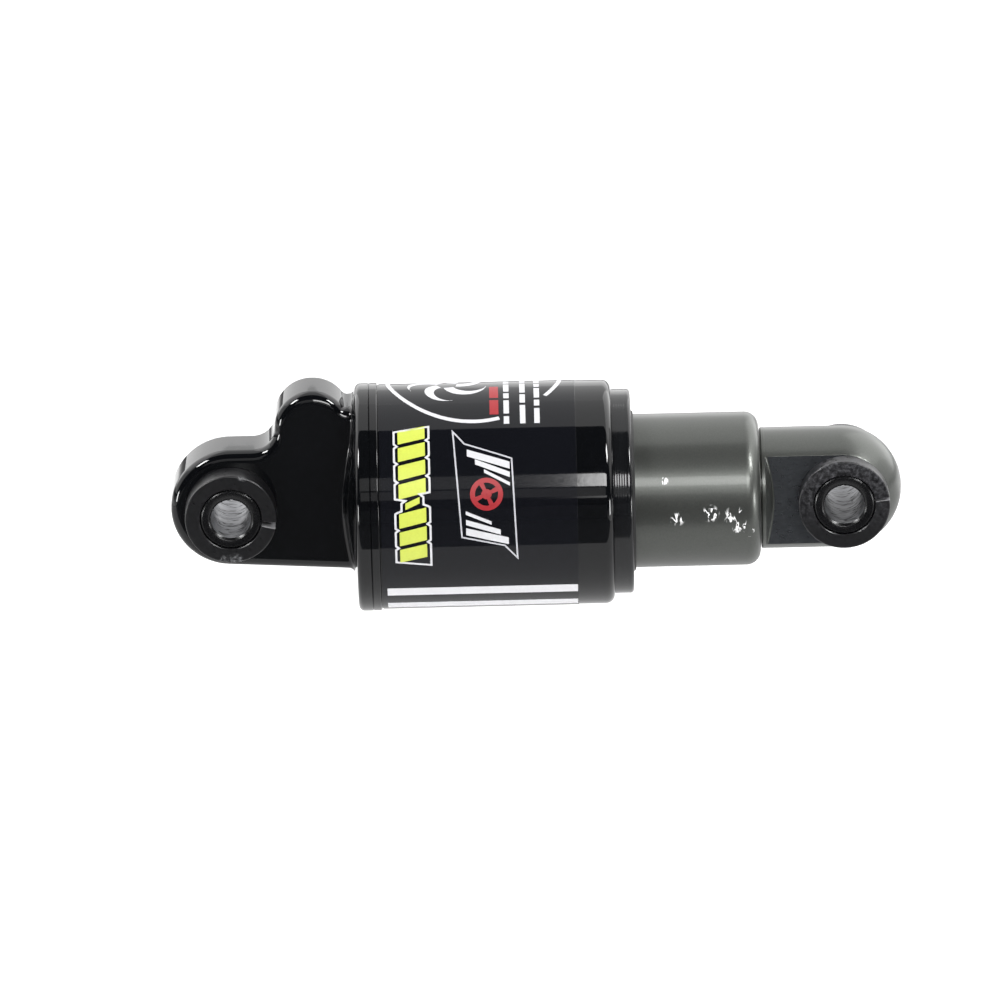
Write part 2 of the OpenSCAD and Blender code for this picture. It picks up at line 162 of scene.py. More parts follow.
def paper_sheet(name, hex_code, glow, x, y, depth_y, z, tilt=0.0):
    """A matt sheet, part of the studio and not of the object."""
    bm = bmesh.new()
    place = Matrix.Translation((0, y, z)) @ Matrix.Rotation(tilt, 4, "X")
    bmesh.ops.create_grid(bm, x_segments=2, y_segments=2, size=1.0,
                          matrix=place @ Matrix.Diagonal((x, depth_y, 1, 1)))
    mesh = bpy.data.meshes.new(name)
    bm.to_mesh(mesh)
    bm.free()
    sheet = bpy.data.objects.new(name, mesh)
    bpy.context.collection.objects.link(sheet)
    sheet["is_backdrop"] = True
    paper = bpy.data.materials.new(name + "_paper")
    paper.use_nodes = True
    shader = paper.node_tree.nodes["Principled BSDF"]
    shader.inputs["Base Color"].default_value = colour(hex_code)
    shader.inputs["Roughness"].default_value = 0.9
    shader.inputs["Emission Color"].default_value = colour("#ffffff")
    shader.inputs["Emission Strength"].default_value = glow
    mesh.materials.append(paper)
    return sheet


floor = paper_sheet("floor", "#f2f2f2", 0.12, 7, 0, 7, -FLOOR_DROP)
print("floor at", -FLOOR_DROP, "m")

# %% Black flag
FLAG_NEAR = 0.44
FLAG_FAR = 2.2
FLAG_TOP = 0.22
flag_length = (FLAG_FAR - FLAG_NEAR) / 2
flag_height = (FLAG_TOP + FLOOR_DROP) / 2
SHADE_NEAR = -FLAG_NEAR
SHADE_FAR = 0.7
shade_length = (SHADE_FAR - SHADE_NEAR) / 2
flags = [
    paper_sheet("flag_low", "#1a1b1e", 0.04, 1.2, -FLAG_NEAR - flag_length, flag_length, 0.002 - FLOOR_DROP),
    paper_sheet("flag_high", "#1a1b1e", 0.04, 1.2, -FLAG_FAR, flag_height, FLAG_TOP - flag_height,
                math.radians(90)),
    # Painted shade: shade_below glows a little dimmer than the floor and shows only in reflections, as the darker
    # floor under the shock
    paper_sheet("shade_below", "#000000", 0.8, 1.2, SHADE_NEAR + shade_length, shade_length,
                0.002 - FLOOR_DROP),
]
for flag in flags:
    flag.visible_camera = False
    flag.visible_diffuse = False
    flag.visible_shadow = False
print(f"flag from {FLAG_NEAR} m to {FLAG_FAR} m in front")

# %% World
bpy.context.scene.view_settings.view_transform = "Standard"
world = bpy.data.worlds.new("studio")
bpy.context.scene.world = world
world.use_nodes = True
world.node_tree.nodes["Background"].inputs["Strength"].default_value = 0.12


# %% Lights
def card(name, width, height, azimuth, elevation, distance, radiance, shift=0.0):
    """A rectangular light aimed at the shock. Azimuth 0 is the camera's side, 90 is +X."""
    a, e = math.radians(azimuth), math.radians(elevation)
    towards = Vector((math.sin(a) * math.cos(e), -math.cos(a) * math.cos(e), math.sin(e)))
    data = bpy.data.lights.new(name, "AREA")
    data.shape = "RECTANGLE"
    data.size, data.size_y = width, height
    data.energy = radiance * width * height * math.pi
    lamp = bpy.data.objects.new(name, data)
    bpy.context.collection.objects.link(lamp)
    lamp.matrix_world = (
        Matrix.Translation(Vector((AIM.x + shift, 0, 0)) + towards * distance)
        @ (-towards).to_track_quat("-Z", "Y").to_matrix().to_4x4()
    )
    lamp.visible_camera = False
    return lamp


card("canopy_back", 4.5, 0.92, 180, 36, 1.6, 1.2)
card("backdrop_glow", 4.5, 0.69, 180, 8.5, 1.7, 1.7)
card("canopy_top", 4.5, 0.93, 180, 71, 1.35, 1.1)
SOFTBOX_EDGE = 0.0275
card("softbox_front", 0.9, 0.36, 0, 31.5, 1.6, 12.0, shift=SOFTBOX_EDGE + 0.45)
card("softbox_spill", 0.9, 0.36, 0, 31.5, 1.6, 0.6, shift=SOFTBOX_EDGE - 0.45)
card("fill_front", 0.9, 0.233, 0, 19.4, 1.55, 0.5)
card("lip_front", 0.9, 0.05, 0, 14.1, 1.55, 2.4, shift=SOFTBOX_EDGE + 0.45)
for side, name in ((-1, "left"), (1, "right")):
    card(f"strip_{name}_high", 0.24, 0.36, side * 62, 45, 1.3, 32.0)
    card(f"strip_{name}_low", 0.2, 0.24, side * 66, -4, 1.3, 23.0)
    card(f"wall_{name}", 2.6, 2.0, side * 118, 30, 1.7, 1.1)

# %% [markdown]
# ## Finishes
# A finish is a Principled shader with a pattern in it. The pattern reads Object coordinates, so it
# keeps its real size on every piece, and its size is given in millimetres. Most finishes need the
# same three things from one noise: a slight change of tone, of gloss and of height. One function
# makes those, and each finish adds what is its own.


# %% A finish with grain
def grained(name, hex_code, metallic, roughness, grain_mm, tone=0.15, gloss_swing=0.04, bump_mm=0.0,
            stretch=(1, 1, 1), **sockets):
    """Material whose tone, roughness and height vary with a grain of the given size."""
    material = bpy.data.materials.new(name)
    material.use_nodes = True
    tree = material.node_tree
    shader = tree.nodes["Principled BSDF"]
    shader.inputs["Metallic"].default_value = metallic
    for socket, value in sockets.items():
        shader.inputs[socket.replace("_", " ")].default_value = value
    base = colour(hex_code)
    place = add_node(tree, "TexCoord")
    drawn = add_node(tree, "Mapping", {"Vector": place.outputs["Object"]}, Scale=stretch)
    grain = add_node(tree, "TexNoise", {"Vector": drawn.outputs["Vector"]}, Scale=1 / (grain_mm * MM),
                     Detail=3.0, Roughness=0.55)
    ramp = add_node(tree, "ValToRGB", {"Fac": grain.outputs["Fac"]})
    ramp.color_ramp.elements[0].position = 0.3
    ramp.color_ramp.elements[1].position = 0.7
    ramp.color_ramp.elements[0].color = (*[c * (1 - tone) for c in base[:3]], 1)
    ramp.color_ramp.elements[1].color = (*[min(c * (1 + tone), 1) for c in base[:3]], 1)
    ramp.label = "tone"
    gloss = add_node(tree, "MapRange", {"Value": grain.outputs["Fac"]}, From_Min=0.3, From_Max=0.7,
                     To_Min=max(roughness - gloss_swing, 0.01), To_Max=roughness + gloss_swing)
    gloss.label = "gloss"
    tree.links.new(ramp.outputs["Color"], shader.inputs["Base Color"])
    tree.links.new(gloss.outputs["Result"], shader.inputs["Roughness"])
    if bump_mm:
        bump = add_node(tree, "Bump", {"Height": grain.outputs["Fac"]}, Distance=bump_mm * MM)
        tree.links.new(bump.outputs["Normal"], shader.inputs["Normal"])
    return material


def laid_over(material, mask, hex_code, roughness, metallic):
    """Covers a finish with another colour and gloss where the mask is 1."""
    tree = material.node_tree
    shader = tree.nodes["Principled BSDF"]
    under_colour = shader.inputs["Base Color"].links[0].from_socket
    under_gloss = shader.inputs["Roughness"].links[0].from_socket
    cover = add_node(tree, "MixRGB", {"Fac": mask, "Color1": under_colour}, Color2=colour(hex_code))
    tree.links.new(cover.outputs["Color"], shader.inputs["Base Color"])
    rough = add_node(tree, "MapRange", {"Value": mask, "To Min": under_gloss}, To_Max=roughness)
    tree.links.new(rough.outputs["Result"], shader.inputs["Roughness"])
    metal = add_node(tree, "MapRange", {"Value": mask},
                     To_Min=shader.inputs["Metallic"].default_value, To_Max=metallic)
    if shader.inputs["Metallic"].links:
        tree.links.new(shader.inputs["Metallic"].links[0].from_socket, metal.inputs["To Min"])
    tree.links.new(metal.outputs["Result"], shader.inputs["Metallic"])


# %% [markdown]
# ### Black gloss coat
# The cast head and the turned can are powder coated and baked. The coat is thick enough to pool, so
# it is very glossy, with a faint orange peel about 2 mm across that makes mirrored edges waver.

# %% Black gloss coat
black_coat = grained("gloss_powder_coat", "#090a0c", 0.0, 0.05, 1.4, tone=0.1, gloss_swing=0.015,
                     bump_mm=0.0015, IOR=1.5)
turned_coat = grained("gloss_coat_on_turned_rings", "#131416", 0.0, 0.12, 0.5, tone=0.2,
                      gloss_swing=0.04, bump_mm=0.002, stretch=(1, 0.02, 0.02), IOR=1.5)

# %% [markdown]
# ### Printed film
# The label is a thin vinyl film with a satin lacquer. Its gloss is broken by a texture finer than
# 0.3 mm, drawn here at 0.35 mm so that it shows as a soft highlight. The inks lie on it and are
# matter than the film. Scuffed lacquer dulls it in broad patches.

# %% Film and inks
film = grained("satin_vinyl_film", "#0f1014", 0.0, 0.05, 0.35, tone=0.12, gloss_swing=0.015,
               bump_mm=0.0002, IOR=1.4)
INKS = {"white": "#c8c8cb", "yellow_green": "#bdc84e", "red": "#951a22", "grey": "#b4b5ba"}
inks = {
    name: grained(f"{name}_screen_ink", code, 0.0, 0.38, 0.4, tone=0.04, gloss_swing=0.05, bump_mm=0.002)
    for name, code in INKS.items()
}

# %% [markdown]
# ### Gunmetal anodise
# The damper tube and the foot are turned aluminium, anodised to a grey that leans to green. The
# metal shows through the clear oxide, so the finish stays metallic. Turning leaves rings round the
# axis, finer than 0.1 mm on the real tube and drawn here at 0.25 mm. Where other parts knocked the
# tube, the oxide is broken to white marks: curved scratches in a few small clusters.

# %% Gunmetal anodise
gunmetal = grained("gunmetal_anodised_aluminium", "#5c5e5b", 0.8, 0.35, 0.25, tone=0.07,
                   gloss_swing=0.015, stretch=(1, 0.7, 0.7), Coat_Weight=0.2, Coat_Roughness=0.08)
milled_gunmetal = grained("gunmetal_anodise_on_milled_flats", "#5b5e62", 0.82, 0.3, 0.5, tone=0.1,
                          gloss_swing=0.04, stretch=(0.3, 1, 1))

# Centre and radius of each cluster of knocks, in mm, on the side of the tube that faces the camera
KNOCKS = [
    ((97.6, -15.7, 0.2), 2.0), ((102.6, -15.6, -0.6), 2.5), ((103.8, -15.3, -3.0), 1.9),
    ((105.7, -15.1, -4.3), 1.2), ((90.9, -15.6, -0.9), 1.6), ((88.4, -14.1, 6.9), 0.9),
]
SCRATCH_MM = 1.5


def inside_spots(tree, place, spots):
    """Mask that is 1 inside any of the spots and fades out at their rims."""
    inside = None
    for centre, reach in spots:
        away = add_node(tree, "VectorMath", {}, operation="DISTANCE")
        tree.links.new(place, away.inputs[0])
        away.inputs[1].default_value = [c * MM for c in centre]
        near = add_node(tree, "MapRange", {"Value": away.outputs["Value"]}, From_Min=reach * MM,
                        From_Max=0.6 * reach * MM, To_Min=0.0, To_Max=1.0)
        if inside is None:
            inside = near.outputs["Result"]
        else:
            both = add_node(tree, "Math", {}, operation="MAXIMUM")
            tree.links.new(inside, both.inputs[0])
            tree.links.new(near.outputs["Result"], both.inputs[1])
            inside = both.outputs["Value"]
    return inside


def knock_marks(tree):
    """Mask of thin curved scratches, only inside the knocked clusters."""
    place = add_node(tree, "TexCoord").outputs["Object"]
    inside = inside_spots(tree, place, KNOCKS)
    drawn = add_node(tree, "Mapping", {"Vector": place}, Rotation=(0, math.radians(-18), 0),
                     Scale=(1.2, 0.45, 0.45))
    swirl = add_node(tree, "TexNoise", {"Vector": drawn.outputs["Vector"]}, Scale=1 / (SCRATCH_MM * MM),
                     Detail=2.0, Distortion=0.5)
    level = add_node(tree, "Math", {}, operation="SUBTRACT")
    tree.links.new(swirl.outputs["Fac"], level.inputs[0])
    level.inputs[1].default_value = 0.5
    ridge = add_node(tree, "Math", {"Value": level.outputs["Value"]}, operation="ABSOLUTE")
    line = add_node(tree, "MapRange", {"Value": ridge.outputs["Value"]}, From_Min=0.048, From_Max=0.022,
                    To_Min=0.0, To_Max=1.0)
    skips = add_node(tree, "TexNoise", {"Vector": place}, Scale=1 / (1.1 * MM), Detail=1.0)
    kept = add_node(tree, "MapRange", {"Value": skips.outputs["Fac"]}, From_Min=0.4, From_Max=0.46)
    marks = add_node(tree, "Math", {}, operation="MULTIPLY")
    tree.links.new(line.outputs["Result"], marks.inputs[0])
    tree.links.new(kept.outputs["Result"], marks.inputs[1])
    here = add_node(tree, "Math", {}, operation="MULTIPLY")
    tree.links.new(marks.outputs["Value"], here.inputs[0])
    tree.links.new(inside, here.inputs[1])
    return here.outputs["Value"]


laid_over(gunmetal, knock_marks(gunmetal.node_tree), "#ffffff", 0.6, 0.1)
print("knocked clusters:", len(KNOCKS))

# %% [markdown]
# ### Steel, black at the ends and bare in the bore
# The bolt sleeves are steel tube with a black oxide skin. The bore was reamed afterwards, which left
# it bare, with score rings across it. The foot's bore is drawn darker and duller all over. The rings are about 0.3
# mm apart.

# %% Steels
black_oxide = grained("black_oxide_steel", "#0d0d0f", 0.2, 0.26, 0.6, tone=0.2, bump_mm=0.0005)
reamed_steel = grained("reamed_bare_steel", "#85868a", 0.75, 0.42, 0.9, tone=0.35, gloss_swing=0.12,
                       bump_mm=0.03, stretch=(0.12, 1, 0.12))
chrome = grained("ground_chrome_steel", "#c9cacc", 1.0, 0.08, 0.3, tone=0.03, gloss_swing=0.02,
                 stretch=(1, 0.05, 0.05))
plated_steel = grained("zinc_plated_steel", "#a9abb0", 1.0, 0.3, 0.6, tone=0.1, bump_mm=0.002)


def score_rings(tree):
    """Mask of thin rings round the bore, broken here and there."""
    place = add_node(tree, "TexCoord").outputs["Object"]
    drawn = add_node(tree, "Mapping", {"Vector": place}, Scale=(0.16, 1, 0.16))
    waves = add_node(tree, "TexNoise", {"Vector": drawn.outputs["Vector"]}, Scale=1 / (1.1 * MM), Detail=2.0)
    level = add_node(tree, "Math", {}, operation="SUBTRACT")
    tree.links.new(waves.outputs["Fac"], level.inputs[0])
    level.inputs[1].default_value = 0.5
    ridge = add_node(tree, "Math", {"Value": level.outputs["Value"]}, operation="ABSOLUTE")
    line = add_node(tree, "MapRange", {"Value": ridge.outputs["Value"]}, From_Min=0.035, From_Max=0.012,
                    To_Min=0.0, To_Max=0.9)
    return line.outputs["Result"]


def foot_bore_darkening(tree):
    """Mask that darkens and dulls the whole of the foot's bore, and not the head's."""
    place = add_node(tree, "TexCoord").outputs["Object"]
    along = add_node(tree, "SeparateXYZ", {"Vector": place}).outputs["X"]
    darker = add_node(tree, "MapRange", {"Value": along}, From_Min=0.100, From_Max=0.101, To_Max=0.4)
    return darker.outputs["Result"]


# The foot's bore is drawn darker and duller all over; the head's bore is not
laid_over(reamed_steel, foot_bore_darkening(reamed_steel.node_tree), "#4c4d4e", 0.5, 0.7)
laid_over(reamed_steel, score_rings(reamed_steel.node_tree), "#1d1e20", 0.6, 0.4)

# %% [markdown]
# ### Spacers
# The split spacers are black acetal, turned from bar: a dull sheen and fine rings. Grease has crept
# out over the foot's spacers and dried to grey patches, a few tenths of a millimetre across. The
# mask for it reads the place along the shock, so the head's spacers stay clean.

# %% Acetal with grease
acetal = grained("black_acetal", "#131315", 0.0, 0.33, 0.8, tone=0.2, gloss_swing=0.06, bump_mm=0.003)


def grease_patches(tree):
    """Mask of dried grease on the foot's spacers, thicker towards their top."""
    place = add_node(tree, "TexCoord").outputs["Object"]
    axes = add_node(tree, "SeparateXYZ", {"Vector": place})
    foot_end = add_node(tree, "MapRange", {"Value": axes.outputs["X"]}, From_Min=0.100, From_Max=0.101)
    upper = add_node(tree, "MapRange", {"Value": axes.outputs["Z"]}, From_Min=-0.006, From_Max=0.006)
    blots = add_node(tree, "TexNoise", {"Vector": place}, Scale=1 / (0.8 * MM), Detail=6.0, Roughness=0.75)
    spots = add_node(tree, "MapRange", {"Value": blots.outputs["Fac"]}, From_Min=0.46, From_Max=0.72,
                     To_Max=0.5)
    there = add_node(tree, "Math", {}, operation="MULTIPLY")
    tree.links.new(foot_end.outputs["Result"], there.inputs[0])
    tree.links.new(upper.outputs["Result"], there.inputs[1])
    patches = add_node(tree, "Math", {}, operation="MULTIPLY")
    tree.links.new(there.outputs["Value"], patches.inputs[0])
    tree.links.new(spots.outputs["Result"], patches.inputs[1])
    return patches.outputs["Value"]


laid_over(acetal, grease_patches(acetal.node_tree), "#77777c", 0.45, 0.0)

# Where the head's near spacer was rubbed: two spots at its lowest edge; the spot at its top is a painted highlight
RUBS_AND_HIGHLIGHT = [((0.6, -12.0, -9.2), 2.0), ((2.6, -12.0, 9.2), 1.2), ((-1.4, -12.0, -9.0), 1.5)]


def rub_and_highlight_marks(tree):
    """Mask of rubbed, paler spots at the near spacer's lowest edge, and of a painted highlight at its top."""
    place = add_node(tree, "TexCoord").outputs["Object"]
    blots = add_node(tree, "TexNoise", {"Vector": place}, Scale=1 / (0.7 * MM), Detail=5.0, Roughness=0.7)
    worn_and_lit = add_node(tree, "MapRange", {"Value": blots.outputs["Fac"]}, From_Min=0.46, From_Max=0.66,
                    To_Max=0.5)
    marks = add_node(tree, "Math", {}, operation="MULTIPLY")
    tree.links.new(worn_and_lit.outputs["Result"], marks.inputs[0])
    tree.links.new(inside_spots(tree, place, RUBS_AND_HIGHLIGHT), marks.inputs[1])
    return marks.outputs["Value"]


# Pale grey on the near spacer: rubbed wear at its lowest edge, and a painted highlight at its top
laid_over(acetal, rub_and_highlight_marks(acetal.node_tree), "#a2a3a6", 0.5, 0.0)

# %% [markdown]
# ### Rubber, bronze, brass and the rest
# These finishes are on small parts, most of them inside. Nitrile rubber is matt, with a bloom that
# greys it. Sintered bronze is open-grained. The piston alloy is bare turned aluminium, the glide
# bands are bronze-filled PTFE, and the valve is turned brass, nickel plated on the outside.

# %% Small parts
rubber = grained("nitrile_rubber", "#0f0f10", 0.0, 0.6, 0.5, tone=0.3, bump_mm=0.004)
bronze = grained("sintered_bronze", "#8f6a3c", 0.9, 0.42, 0.25, tone=0.3, gloss_swing=0.1, bump_mm=0.004)
alloy = grained("turned_bare_aluminium", "#b4b6b8", 1.0, 0.25, 0.25, tone=0.06, stretch=(1, 0.05, 0.05))
glide = grained("bronze_filled_ptfe", "#4d4437", 0.1, 0.5, 0.6, tone=0.25)
nickel = grained("nickel_plated_brass", "#b7b1a2", 1.0, 0.2, 0.5, tone=0.08, bump_mm=0.001)
brass = grained("turned_brass", "#b08d4a", 1.0, 0.25, 0.3, tone=0.1, stretch=(0.05, 1, 0.05))
sawn_acetal = grained("sawn_acetal", "#8b8b8d", 0.0, 0.5, 0.5, tone=0.25, bump_mm=0.003)
cap_plastic = grained("moulded_black_nylon", "#151516", 0.0, 0.42, 0.7, tone=0.2, bump_mm=0.003)

FINISHED_AS = {
    rubber: ["can_o_ring", "gland_o_ring", "gland_seal", "dust_wiper", "top_out_bumper", "rod_o_ring",
             "bottom_out_bumper", "air_piston_seal", "air_piston_o_ring", "rod_seal", "foot_o_ring",
             "valve_o_ring"],
    bronze: ["gland_bush", "rod_bush", "upper_eye_bush", "lower_eye_bush"],
    alloy: ["air_piston", "damper_piston"],
    glide: ["air_piston_band", "damper_piston_band"],
    chrome: ["damper_rod"],
    plated_steel: ["rebound_shims", "compression_shims", "damper_piston_nut"],
    brass: ["valve_core", "valve_pin"],
}
for material, nodes in FINISHED_AS.items():
    for node in nodes:
        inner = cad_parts[node]
        inner.data.materials.clear()
        inner.data.materials.append(material)
        inner.data.shade_smooth()
        inner.data.set_sharp_from_angle(angle=math.radians(30))
print("CAD nodes with a finish:", sum(len(nodes) for nodes in FINISHED_AS.values()))

# %% [markdown]
# ## Making pieces
# Most pieces are turned, so most start as a half section that is spun about an axis. A piece that
# can't be turned is a flat outline pushed to its thickness. `carve` joins or cuts one shape with
# another, and `finished` makes the object: smooth shaded, riding on its body, with its materials.


# %% Turn, push, carve and finish
def arc(cx, cy, r, start, end, steps=6):
    """Points on an arc from start to end, in degrees."""
    turns = [math.radians(start + (end - start) * i / steps) for i in range(steps + 1)]
    return [(cx + r * math.cos(a), cy + r * math.sin(a)) for a in turns]


def turned(outline, steps=160):
    """A closed half section of (x, radius) points, spun once about the X axis."""
    bm = bmesh.new()
    ring = [bm.verts.new((x, 0, r)) for x, r in outline]
    edges = [bm.edges.new((ring[i - 1], ring[i])) for i in range(len(ring))]
    bmesh.ops.spin(bm, geom=ring + edges, cent=(0, 0, 0), axis=(1, 0, 0), angle=TURN, steps=steps,
                   use_merge=True)
    bmesh.ops.remove_doubles(bm, verts=bm.verts, dist=1e-4)
    bmesh.ops.recalc_face_normals(bm, faces=bm.faces)
    return bm


def across(bm, x=0.0, z=0.0):
    """Turns a shape made along X so that it lies along Y, at the given place."""
    bmesh.ops.rotate(bm, verts=bm.verts, cent=(0, 0, 0), matrix=Matrix.Rotation(TURN / 4, 3, "Z"))
    bmesh.ops.translate(bm, verts=bm.verts, vec=(x, 0, z))
    return bm


def pushed(outline, low, high):
    """A closed outline of (x, z) points pushed along Y into a plate."""
    bm = bmesh.new()
    face = bm.faces.new([bm.verts.new((x, low, z)) for x, z in outline])
    top = bmesh.ops.extrude_face_region(bm, geom=[face])
    moved = [v for v in top["geom"] if isinstance(v, bmesh.types.BMVert)]
    bmesh.ops.translate(bm, verts=moved, vec=(0, high - low, 0))
    bmesh.ops.recalc_face_normals(bm, faces=bm.faces)
    return bm


def rounded(bm, edges, radius, segments=4):
    """Rounds the given edges."""
    bmesh.ops.bevel(bm, geom=edges, offset=radius, offset_type="OFFSET", segments=segments, profile=0.5,
                    affect="EDGES", material=-1, clamp_overlap=False)


def carve(bm, tool, operation="DIFFERENCE"):
    """Cuts or joins two shapes, and hands back one. Faces keep their material numbers."""
    parts = []
    for shape in (bm, tool):
        mesh = bpy.data.meshes.new("blank")
        shape.to_mesh(mesh)
        shape.free()
        mesh.materials.append(None)
        mesh.materials.append(None)
        parts.append(bpy.data.objects.new("blank", mesh))
        bpy.context.collection.objects.link(parts[-1])
    cut = parts[0].modifiers.new("cut", "BOOLEAN")
    cut.object = parts[1]
    cut.operation = operation
    cut.solver = "EXACT"
    cut.material_mode = "INDEX"
    result = bmesh.new()
    solid = parts[0].evaluated_get(bpy.context.evaluated_depsgraph_get())
    result.from_mesh(solid.to_mesh())
    solid.to_mesh_clear()
    for part in parts:
        mesh = part.data
        bpy.data.objects.remove(part)
        bpy.data.meshes.remove(mesh)
    return result


def finished(name, bm, materials, body, stands_for=(), sharp=32):
    """Makes an object of a shape in millimetres, smooth except where faces meet at a sharp angle."""
    bmesh.ops.scale(bm, vec=(MM, MM, MM), verts=bm.verts)
    mesh = bpy.data.meshes.new(name)
    bm.to_mesh(mesh)
    bm.free()
    mesh.shade_smooth()
    mesh.set_sharp_from_angle(angle=math.radians(sharp))
    piece = bpy.data.objects.new(name, mesh)
    bpy.context.collection.objects.link(piece)
    for material in materials:
        mesh.materials.append(material)
    weighted = piece.modifiers.new("weighted normals", "WEIGHTED_NORMAL")
    weighted.keep_sharp = True
    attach(piece, body)
    if stands_for:
        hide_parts(*stands_for)
    print(f"{name}: {len(mesh.polygons)} faces on {body}")
    return piece


# %% [markdown]
# ## Head casting
# The head is one casting: a flat ear with the eye in it, a boss on top that takes the air valve, and
# a round back with a shallow cone that closes the can. On a casting nothing is sharp, so the ear's
# rim is rounded and a fillet runs round its root. Two shapes are made, the plate and the turned
# back, and joined. Faces of the back carry another material number, so the fillet's edges are
# simply those where the two numbers meet.

# %% Ear outline
EAR_HALF = 6.4
EYE_R = 12.3
BOSS = (17.0, 16.9, 7.7)
HOLLOW_R = BOSS[1] - EYE_R
VALLEY_R = 1.2
VALLEY_AT = 36
ROOT_X = can_x - 2.4
ROOT_CORNER = (can_x - 4, -EYE_R - 1.5)


def tangent_angle(point, r):
    """Angle, in degrees, where a line from the point touches the lower side of a circle at the origin."""
    away = math.hypot(*point)
    return math.degrees(math.atan2(point[1], point[0]) - math.acos(r / away))


def ear_outline():
    """Side view of the ear: eye, flat top, hollow, boss, valley, then the root inside the back."""
    low = tangent_angle(ROOT_CORNER, EYE_R)
    bx, bz, br = BOSS
    lean = math.radians(VALLEY_AT)
    valley = (bx + (br + VALLEY_R) * math.cos(lean), bz + (br + VALLEY_R) * math.sin(lean))
    root_low = ROOT_CORNER[1] - math.tan(math.radians(90 + low)) * -1 * (ROOT_X - ROOT_CORNER[0])
    return (
        arc(0, 0, EYE_R, low, -270, 64)
        + arc(bx - br - HOLLOW_R, bz, HOLLOW_R, -90, 0, 12)
        + arc(bx, bz, br, 180, VALLEY_AT, 40)[1:]
        + arc(*valley, VALLEY_R, VALLEY_AT + 180, 270, 6)[1:]
        + [(ROOT_X, valley[1] - VALLEY_R), (ROOT_X, root_low)]
    )


print("points round the ear:", len(ear_outline()))

# %% Ear plate with a rounded rim
RIM_ROUND = 2.3

ear = pushed(ear_outline(), -EAR_HALF, EAR_HALF)
rim = [
    e for e in ear.edges
    if abs(e.verts[0].co.y - e.verts[1].co.y) < 1e-6 and min(v.co.x for v in e.verts) < ROOT_X - 0.01
]
rounded(ear, rim, RIM_ROUND, segments=6)
print("rim edges rounded:", len(rim))

# %% Round back, turned
CONE_X = can_x - 5.4
BACK_CORNER = 1.2
SEAM = 0.15
SPIGOT_END = span("head_casting", 0)[1]
SPIGOT_R = 20.6
RECESS_R = 17.2
recess_x = span("bottom_out_bumper", 0)[0]
rod_x, rod_r = span("damper_rod", 0)[0], 3.75

back = turned(
    [(CONE_X, 0), (CONE_X, 3), (CONE_X, 6.2), (CONE_X + 0.05, 6.8), (can_x - 3.65, 15.2),
     (can_x - 3.58, 15.8)]
    + arc(can_x - 3 + BACK_CORNER, rim_r - BACK_CORNER, BACK_CORNER, 180, 90, 8)
    + [(can_x - SEAM, rim_r), (can_x, rim_r - SEAM), (can_x, SPIGOT_R), (SPIGOT_END, SPIGOT_R),
       (SPIGOT_END, RECESS_R), (recess_x, RECESS_R), (recess_x, rod_r), (rod_x + 1, rod_r), (rod_x + 1, 0)]
)
for face in back.faces:
    face.material_index = 1

# %% Join, bore and fillet
FILLET = 1.1
PORT = (16.0, 14.0, 4.0)

head = carve(ear, back, "UNION")
bmesh.ops.dissolve_degenerate(head, edges=head.edges, dist=0.02)
root = [
    e for e in head.edges
    if len(e.link_faces) == 2 and e.link_faces[0].material_index != e.link_faces[1].material_index
    and min(v.co.x for v in e.verts) > CONE_X - 0.5
]
rounded(head, root, FILLET, segments=5)
print("root edges filleted:", len(root))
for face in head.faces:
    face.material_index = 0
head = carve(head, across(turned([(-20, 0), (-20, bush_r), (20, bush_r), (20, 0)], 96)))
head = carve(head, across(turned([(0, 0), (0, PORT[2]), (9, PORT[2]), (9, 0)], 64), PORT[0], PORT[1]))
finished("cast_head", head, [black_coat], "head_and_can", ["head_casting"])

# %% [markdown]
# ## Air can and collar
# The can is turned tube with a small raised rim where it meets the head and a rounded end. A thin
# seam is left at the rim, where two chamfers face each other. The collar screws into the can's end.
# Its band keeps the marks of the turning tool, so its section has six shallow steps.

# %% Air can
RIM_END = can_x + 1.7
CAN_BORE = 20.6
CAN_END_R = 1.9

finished("turned_can", turned(
    [(can_x, CAN_BORE), (can_x, rim_r - SEAM), (can_x + SEAM, rim_r)]
    + arc(RIM_END - 0.25, rim_r - 0.25, 0.25, 90, 0, 4)
    + [(RIM_END, can_r + 0.1), (RIM_END + 0.1, can_r)]
    + arc(can_end - CAN_END_R, can_r - CAN_END_R, CAN_END_R, 90, 0, 10)
    + [(can_end, CAN_BORE)], 200), [black_coat], "head_and_can", ["air_can"])

# %% Gland collar
collar_x, collar_end = span("gland_collar", 0)
collar_r = span("gland_collar", 1)[1]
COLLAR_CORNER = 0.8
TOOL_PITCH = 0.5
TOOL_DEPTH = 0.024
GLAND_BORE = tube_r + 0.25

band = []
for mark in range(6):
    x = can_end + 0.1 + mark * TOOL_PITCH
    band += [(x, collar_r - TOOL_DEPTH), (x + TOOL_PITCH / 2, collar_r)]
finished("turned_collar", turned(
    [(collar_x, GLAND_BORE), (collar_x, CAN_BORE - 0.02), (can_end, CAN_BORE - 0.02),
     (can_end, collar_r - TOOL_DEPTH)]
    + band
    + arc(collar_end - COLLAR_CORNER, collar_r - COLLAR_CORNER, COLLAR_CORNER, 90, 0, 14)
    + [(collar_end, GLAND_BORE + 1.65), (wiper_x, GLAND_BORE + 1.65), (wiper_x, GLAND_BORE)], 200),
    [turned_coat], "head_and_can", ["gland_collar"], sharp=8)

# %% [markdown]
# ## Label
# The label is a strip of film wrapped round the can, with its two ends meeting at a gap along the
# bottom. What is printed on it is generic: a column of slanted blocks, a badge with a red wheel, a
# pinwheel in a ring, a few blank caution lines and two stripes. The shapes are drawn flat, where x
# runs along the can and s round it, and then wrapped. Ink is thin, yet real: each shape is raised
# by a few hundredths of a millimetre.


